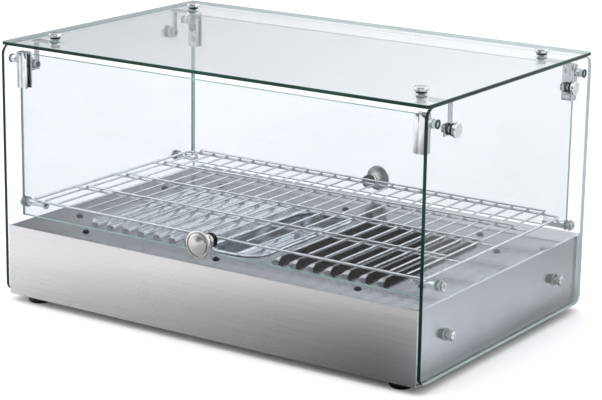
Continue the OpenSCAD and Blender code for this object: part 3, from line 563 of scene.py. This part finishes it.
rim_z = deck_z + 0.5 * MM
bpy.ops.object.select_all(action="DESELECT")
bpy.ops.mesh.primitive_plane_add(size=1, location=(0, pan_y, rim_z))
pan = bpy.context.object
pan.name = "drawn_water_pan"
pan.scale = (pan_high.x - pan_low.x, pan_high.y - pan_low.y, 1)
bpy.ops.object.transform_apply(location=True, scale=True)
bpy.ops.object.mode_set(mode="EDIT")
bpy.ops.mesh.select_all(action="SELECT")
bpy.ops.mesh.bevel(offset=27.9 * MM, segments=14, affect="VERTICES")
# Each step goes in and then up by this much: over the bead, down the wall and round to the floor
bead = [(0.15, 0.8), (0.5, 0.6), (0.8, 0.3), (0.9, 0.0), (0.7, -0.25), (0.6, -0.5), (0.5, -0.9),
        (0.35, -1.6)]
side_wall = [(0.1, -5.0), (0.1, -5.0), (0.1, -5.2)]
floor_bend = [(0.4, -1.9), (0.8, -1.5), (1.2, -1.0), (1.6, -0.5), (1.9, -0.15)]
for narrow, rise in bead + side_wall + floor_bend:
    bpy.ops.mesh.inset(thickness=narrow * MM, depth=rise * MM)
bpy.ops.object.mode_set(mode="OBJECT")
wall = pan.modifiers.new("wall", "SOLIDIFY")
wall.thickness, wall.offset = 0.7 * MM, 0
bpy.ops.object.modifier_apply(modifier="wall")
settle(pan, "pan", ["water_pan"], buffed, 40)


# --- Wire shelf -------------------------------------------------------------------------
# Hard-drawn steel wire, resistance-welded where it crosses and then bright nickel plated.
# The plating is smooth, with faint drawing lines that are too fine to show.
nickel = metal("bright_nickel_wire", "#b7b9bc", "#cbcdcf", 0.06, 0.13, 0.7)
eased("shelf_frame", "shelf_frame_wire", 0.2 * MM, "shelf", nickel, 1)
eased("shelf_wires", "shelf_long_wires", 0.4 * MM, "shelf", nickel, 2)
eased("shelf_top_wires", "shelf_cross_wires", 0.4 * MM, "shelf", nickel, 2)
polished = metal("polished_stainless", "#c4c6c9", "#d8dadc", 0.04, 0.10, 0.8)
natural = moulded("natural_nylon", "#7f8583", "#9aa09e", 0.20, 0.32, 0.8, IOR=1.53)
rubber = moulded("black_nitrile_rubber", "#0b0b0c", "#171718", 0.50, 0.68, 0.6, IOR=1.52)
eased("shelf_pins", "shelf_rests", 0.3 * MM, "case", polished)
eased("shelf_pin_screws", "shelf_rest_screws", 0.3 * MM, "case", zinc)
eased("shelf_pin_washers", "shelf_rest_washers", 0.3 * MM, "case", natural)


# --- Glass panels ---------------------------------------------------------------------------
# Clear toughened float glass, 4 mm thick. The faces are clear and mirror the room a little,
# more at a low angle. The edges are ground, or polished on the doors, and the iron in the
# glass gives them a green tint. Their darkness from outside is painted shade, and the pale colour
# seen through them and on the doors' edges is painted light.
pane = bpy.data.materials.new("clear_float_glass")
pane.use_nodes = True
tree = pane.node_tree
tree.nodes.remove(tree.nodes["Principled BSDF"])
place = add(tree, "TexCoord").outputs["Object"]
film = add(tree, "TexNoise", {"Vector": place, "Scale": 7.0, "Detail": 2.0})
facing = add(tree, "LayerWeight", {"Blend": 0.5}).outputs["Facing"]
steep = add(tree, "Math", {0: facing, 1: 5.0}, operation="POWER").outputs[0]
mirror_share = ramp(tree, steep, 0.03, 0.9)
clear = add(tree, "BsdfTransparent", {"Color": ramp(tree, film.outputs[0], "#f1f2f3", "#f5f6f7")})
sheen = add(tree, "BsdfGlossy", {"Color": srgb("#fdffff"), "Roughness": 0.0})
both = add(tree, "MixShader", {0: mirror_share, 1: clear.outputs[0], 2: sheen.outputs[0]})
tree.links.new(both.outputs[0], tree.nodes["Material Output"].inputs["Surface"])

# A ground edge is coloured dark green from outside, painted shade over the glass's real green, and pale on
# its back faces, where it is seen through the glass itself: painted light
ground_edge, tree, shader = finish("ground_glass_edge", IOR=1.5, Specular_IOR_Level=0.2)
place = add(tree, "TexCoord").outputs["Object"]
depth = add(tree, "TexNoise", {"Vector": place, "Scale": 14.0, "Detail": 2.0})
grit = add(tree, "TexNoise", {"Vector": place, "Scale": 1400.0, "Detail": 2.0})
green = ramp(tree, depth.outputs[0], "#04120f", "#0e352c", 0.3, 0.7)
within = add(tree, "NewGeometry").outputs["Backfacing"]
edge_painted_shade_and_light = add(tree, "Mix", {0: within, 6: green, 7: srgb("#bfcfcd")}, data_type="RGBA").outputs[2]
tree.links.new(edge_painted_shade_and_light, shader.inputs["Base Color"])
tree.links.new(ramp(tree, grit.outputs[0], 0.12, 0.24, 0.3, 0.7), shader.inputs["Roughness"])

# The seamed corner beside it scatters more light
seam, tree, shader = finish("seamed_glass_arris", IOR=1.5)
place = add(tree, "TexCoord").outputs["Object"]
grit = add(tree, "TexNoise", {"Vector": place, "Scale": 1400.0, "Detail": 2.0})
tree.links.new(ramp(tree, grit.outputs[0], "#2f4d47", "#557c73", 0.3, 0.7), shader.inputs["Base Color"])
tree.links.new(ramp(tree, grit.outputs[0], 0.30, 0.50, 0.3, 0.7), shader.inputs["Roughness"])

# The doors' edges are polished, and their pale colour is painted light, for the light they lie in
door_edge_painted_light, tree, shader = finish("door_glass_edge_painted_light", IOR=1.5)
place = add(tree, "TexCoord").outputs["Object"]
depth = add(tree, "TexNoise", {"Vector": place, "Scale": 14.0, "Detail": 2.0})
tree.links.new(ramp(tree, depth.outputs[0], "#6d8a85", "#93aca8", 0.3, 0.7), shader.inputs["Base Color"])
tree.links.new(ramp(tree, depth.outputs[0], 0.04, 0.09, 0.3, 0.7), shader.inputs["Roughness"])


def glass_panel(name, node, axis, corner, holes, body, edges=(ground_edge, seam)):
    """A cut, drilled and ground panel: holes are (centre, radius) across the panel's thickness"""
    low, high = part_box(node)
    panel = block(name, low, high)
    if corner:
        pick(panel, "EDGE", lambda a, b: abs(a[axis] - b[axis]) > MM)
        bpy.ops.mesh.bevel(offset=corner, segments=10, affect="EDGES")
        put_down()
    drills = []
    for centre, radius in holes:
        ends = [Vector(centre), Vector(centre)]
        ends[0][axis], ends[1][axis] = low[axis] - MM, high[axis] + MM
        drills.append(bar("drill", radius, *ends, sides=32))
    if drills:
        cut(panel, joined(drills))
    only(panel)
    arris = panel.modifiers.new("arris", "BEVEL")
    arris.width, arris.segments, arris.limit_method = 0.4 * MM, 1, "ANGLE"
    arris.angle_limit = math.radians(60)
    bpy.ops.object.modifier_apply(modifier="arris")
    settle(panel, body, [node], angle=20)
    panel.data.materials.clear()
    for material in (pane, *edges):
        panel.data.materials.append(material)
    for face in panel.data.polygons:
        lean = abs(face.normal[axis])
        face.material_index = 0 if lean > 0.95 else 1 if lean < 0.3 else 2
    return panel


bolt_y, bolt_z = 130 * MM, middle("side_buttons").z
door_y, pivot_z = middle("rear_door_glass").y - mid_y, middle("front_pivot_pins").z
rest_y, rest_z = 143.5 * MM, middle("shelf_pins").z
fix_y, fix_z = 121 * MM, middle("end_screws").z
bolt_hole, bush_hole, screw_hole = 3.4 * MM, 4.05 * MM, 2.5 * MM
drilled = [(bolt_y, bolt_z, bolt_hole), (door_y, pivot_z, bush_hole), (rest_y, rest_z, screw_hole),
           (fix_y, fix_z, screw_hole)]
side_holes = [((0, mid_y + s * y, z), r) for s in (-1, 1) for y, z, r in drilled]
for side in ("left", "right"):
    glass_panel("side_panel_" + side, "side_glass_" + side, 0, 11 * MM, side_holes, "case")
button_x = 241 * MM
corners = [(sx, sy) for sx in (-1, 1) for sy in (-1, 1)]
top_holes = [((sx * button_x, mid_y + sy * bolt_y, 0), bolt_hole) for sx, sy in corners]
glass_panel("top_panel", "top_glass", 2, 3 * MM, top_holes, "case")

# Dome-head screws hold the side panels to the deck's ends, over nylon rings
dome_head = [(2, -12), (2, 0), (5, 0), (5, 0.8), (4.7, 1.5), (3.9, 2.1), (2.6, 2.45), (1.3, 2.5), (1.0, 1.6),
             (0.2, 1.5)]
head_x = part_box("end_screws")[1].x - 2.5 * MM
spots = [((sx * head_x, mid_y + sy * fix_y, fix_z), (0, sx * math.pi / 2, 0)) for sx, sy in corners]
screws = copies(turned("end_screw", 32, dome_head), "end_panel_screws", spots)
settle(screws, "case", ["end_screws"], zinc)
eased("end_washers", "end_panel_rings", 0.5 * MM, "case", natural, 3)


# --- Corner brackets and their button bolts ----------------------------------------------
# Narrow stainless strips, bent and polished, tie the top panel to the side panels. Each has
# two bolts with flat polished button heads that bear on black washers.
eased("corner_brackets_left", "corner_strips_left", 0.35 * MM, "case", polished, 3)
eased("corner_brackets_right", "corner_strips_right", 0.35 * MM, "case", polished, 3)
button = [(2.8, -5.5), (2.8, 0), (5.5, 0), (6.8, 0.7), (7.7, 1.3), (8, 1.9), (8, 4.8), (7.85, 5.2),
          (7.4, 5.45), (6.9, 5.5), (0.2, 5.55)]
seat_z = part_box("top_glass")[1].z + 1 * MM
seat_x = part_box("side_glass_right")[1].x + 1.5 * MM
on_top = [((sx * button_x, mid_y + sy * bolt_y, seat_z), (0, 0, 0)) for sx, sy in corners]
on_sides = [((sx * seat_x, mid_y + sy * bolt_y, bolt_z), (0, sx * math.pi / 2, 0)) for sx, sy in corners]
for node, name, spots in (("top_buttons", "top_button_bolts", on_top),
                          ("side_buttons", "side_button_bolts", on_sides)):
    bolts = copies(turned("button", 64, button), name, spots)
    settle(bolts, "case", [node], polished)
eased("top_washers", "top_button_washers", 0.2 * MM, "case", rubber)
eased("side_washers", "side_button_washers", 0.2 * MM, "case", rubber)
eased("top_nuts", "top_button_nuts", 0.3 * MM, "case", zinc)
eased("side_nuts", "side_button_nuts", 0.3 * MM, "case", zinc)


# --- Doors ------------------------------------------------------------------------------------
# Each door is a plain panel that hangs by two polished clamps. A pin on each clamp turns in a
# black nylon bush in the side panel, and a turned knob is bolted through near the lower edge.
nylon = moulded("black_nylon", "#0c0c0d", "#1a1a1c", 0.32, 0.46, 0.8, IOR=1.53)
eased("pivot_bushes", "pivot_bush_rings", 0.25 * MM, "case", nylon)
eased("pivot_spacers", "pivot_bush_spacers", 0.2 * MM, "case", polished)


def machined(name, centre, dark, light):
    """Stainless steel faced in a lathe: fine rings about the knob's axis, 0.4 mm apart"""
    made, tree, shader = finish(name, Metallic=1.0, Anisotropic=0.5)
    place = add(tree, "TexCoord").outputs["Object"]
    spot = add(tree, "Mapping", {"Vector": place, "Location": [-c for c in centre]})
    flat = add(tree, "Mapping", {"Vector": spot.outputs[0], "Scale": (1, 0, 1)})
    away = add(tree, "VectorMath", {0: flat.outputs[0]}, operation="LENGTH").outputs["Value"]
    turns = add(tree, "Math", {0: away, 1: 2500.0}, operation="MULTIPLY").outputs[0]
    rings = add(tree, "TexNoise", {"W": turns, "Scale": 1.0, "Detail": 2.0}, noise_dimensions="1D")
    tree.links.new(ramp(tree, rings.outputs[0], dark, light, 0.3, 0.7), shader.inputs["Base Color"])
    tree.links.new(ramp(tree, rings.outputs[0], 0.10, 0.26, 0.3, 0.7), shader.inputs["Roughness"])
    bump = add(tree, "Bump", {"Height": rings.outputs[0], "Strength": 0.15, "Distance": 0.05 * MM})
    tree.links.new(bump.outputs[0], shader.inputs["Normal"])
    turn = add(tree, "Tangent", direction_type="RADIAL", axis="Y")
    tree.links.new(turn.outputs[0], shader.inputs["Tangent"])
    return made


# From the washer outwards: collar, groove, collar, neck, flared back, rim, groove and cone
knob_outline = [
    (2.6, 0), (7.2, 0), (7.7, 0.3), (7.9, 0.9), (7.9, 3.2), (7.6, 3.8), (6.9, 4.2), (6.3, 4.6), (6.2, 5.2),
    (6.8, 5.7), (7.2, 6.2), (7.3, 7.4), (6.9, 8.1), (6.0, 8.6), (5.4, 9.4), (5.2, 11), (5.4, 12.6),
    (6.3, 13.9), (8.2, 15.1), (11, 15.9), (14, 16.4), (15.1, 16.8), (15.5, 17.4), (15.5, 19), (15.3, 19.7),
    (14.7, 20.1), (13.5, 20.3), (13.1, 18.9), (12.3, 18.9), (12.0, 20.4), (11.4, 20.8), (10.6, 21.0),
    (6, 22.1), (2, 22.8), (0.3, 22.95)]
clamp_head_r, clamp_hole, knob_hole = 3 * MM, 2.6 * MM, 3 * MM
for door, s in (("front", -1), ("rear", 1)):
    body = door + "_door"
    low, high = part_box(door + "_clamp_screws")
    clamp_x = middle(door + "_clamp_screws").x + (high.x - clamp_head_r)
    heights = (low.z + clamp_head_r, high.z - clamp_head_r)
    holes = [((0, 0, middle(door + "_knob").z), knob_hole)]
    holes += [((t * clamp_x, 0, z), clamp_hole) for t in (-1, 1) for z in heights]
    # The door's edges take the pale edge colour, which is painted light
    glass_panel(door + "_door_panel", door + "_door_glass", 1, 0, holes, body,
                (door_edge_painted_light, door_edge_painted_light))
    eased(door + "_hinge_clamps", door + "_door_clamps", 0.35 * MM, body, polished, 3)
    eased(door + "_clamp_pads", door + "_door_clamp_pads", 0.15 * MM, body, rubber, 1)
    eased(door + "_clamp_screws", door + "_door_clamp_screws", 0.25 * MM, body, zinc)
    eased(door + "_pivot_pins", door + "_door_pins", 0.25 * MM, body, zinc)
    seat_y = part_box(door + "_knob")[0 if s > 0 else 1].y
    centre = (0, seat_y, middle(door + "_knob").z)
    outwards = (-s * math.pi / 2, 0, 0)
    knob = copies(turned("knob", 96, knob_outline), door + "_door_knob", [(centre, outwards)])
    knob_steel = machined("faced_stainless_" + door, centre, "#b2afad", "#cfcdcb")
    settle(knob, body, [door + "_knob"], knob_steel, 30)
    eased(door + "_knob_washers", door + "_door_knob_washers", 0.2 * MM, body, rubber)
    eased(door + "_knob_screw", door + "_door_knob_screw", 0.5 * MM, body, zinc, 3)


# --- Controls on the rear ---------------------------------------------------------------------
# A dial on the thermostat's shaft, a green rocker switch, an amber lamp and a screwed gland,
# all stock parts moulded in black plastic.
abs_black = moulded("black_abs", "#0e0e10", "#18181b", 0.20, 0.34, 0.9, IOR=1.54)
eased("switch_housing", "rocker_switch_case", 0.4 * MM, "case", abs_black)
eased("pilot_lamp_body", "pilot_lamp_barrel", 0.3 * MM, "case", abs_black)
amber = moulded("amber_polycarbonate", "#b4530c", "#d3701a", 0.08, 0.16, 1.2, IOR=1.58,
                Transmission_Weight=0.35)
eased("pilot_lamp_lens", "pilot_lamp_dome", 0.2 * MM, "case", amber)
green = moulded("green_polycarbonate", "#0b3a18", "#145024", 0.10, 0.20, 1.2, IOR=1.58)
eased("rocker", "rocker_cap", 0.7 * MM, "switch_rocker", green, 3)
eased("cord_gland", "cord_gland_body", 0.4 * MM, "case", nylon, 3)
eased("gland_nut", "cord_gland_nut", 0.4 * MM, "case", nylon)
eased("dial_knob", "thermostat_dial", 0.6 * MM, "dial", abs_black, 3)
eased("dial_shaft", "thermostat_shaft", 0.3 * MM, "dial", zinc)
